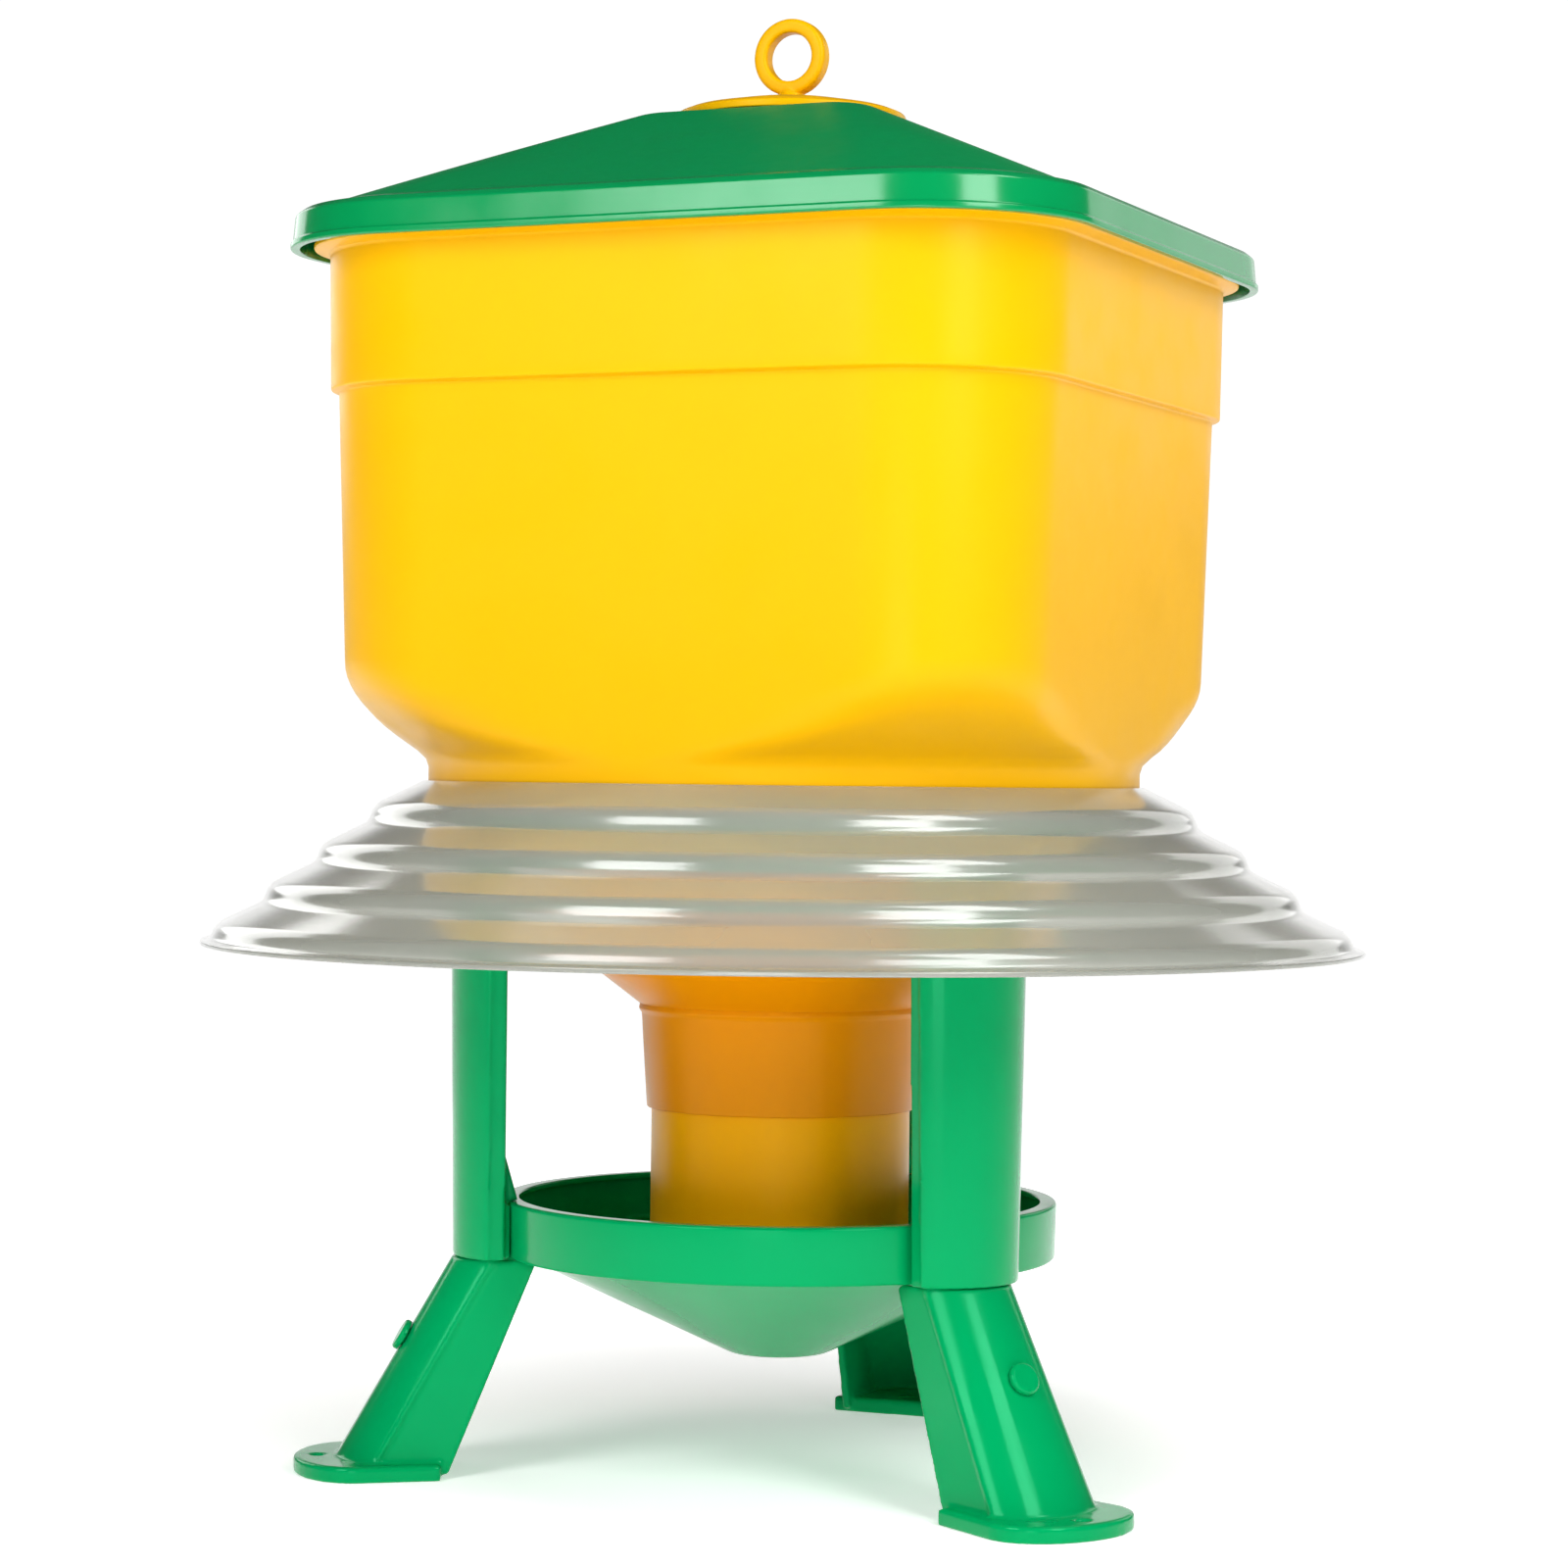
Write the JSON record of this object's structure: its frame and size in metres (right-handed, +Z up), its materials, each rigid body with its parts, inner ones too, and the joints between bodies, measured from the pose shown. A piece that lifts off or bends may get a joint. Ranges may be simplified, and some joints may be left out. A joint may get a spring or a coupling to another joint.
{
  "type": "gravity poultry feeder",
  "caption": "Gravity poultry feeder with a square lidded hopper, a stepped round rain shield and a round feed pan on splayed legs.",
  "frame": {"origin": "on the floor, on the upright middle axis of the feeder", "axes": "+Z up along the middle axis, -Y out of the hopper's front, +X to its right"},
  "size_m": [0.587, 0.587, 0.7341],
  "materials": {
    "yellow_plastic": "moulded polypropylene, soft gloss",
    "green_plastic": "moulded polypropylene, soft gloss",
    "milky_plastic": "milky translucent polypropylene sheet"
  },
  "bodies": {
    "stand": {"support_ring": "green_plastic", "feed_pan": "green_plastic", "post_right": "green_plastic", "leg_right": "green_plastic", "leg_plug_right": "green_plastic", "post_rear": "green_plastic", "leg_rear": "green_plastic", "leg_plug_rear": "green_plastic", "post_left": "green_plastic", "leg_left": "green_plastic", "leg_plug_left": "green_plastic"},
    "hopper": {"hopper_tub": "yellow_plastic", "feed_funnel": "yellow_plastic", "feed_neck": "yellow_plastic", "rain_shield": "milky_plastic"},
    "sleeve": {"feed_sleeve": "yellow_plastic"},
    "lid": {"lid": "green_plastic", "lid_cap": "yellow_plastic"},
    "eye": {"hanging_eye": "yellow_plastic"}
  },
  "joints": [
    {"name": "hopper_lift", "type": "slide", "parent": "stand", "child": "hopper", "axis": [0, 0, 1], "range_m": [0, 0.26]},
    {"name": "sleeve_height", "type": "slide", "parent": "hopper", "child": "sleeve", "axis": [0, 0, 1], "range_m": [-0.004, 0.03]},
    {"name": "lid_lift", "type": "slide", "parent": "hopper", "child": "lid", "axis": [0, 0, 1], "range_m": [0, 0.06]},
    {"name": "eye_swivel", "type": "hinge", "parent": "lid", "child": "eye", "pos_m": [0, 0, 0.684], "axis": [0, 0, 1], "continuous": true}
  ]
}
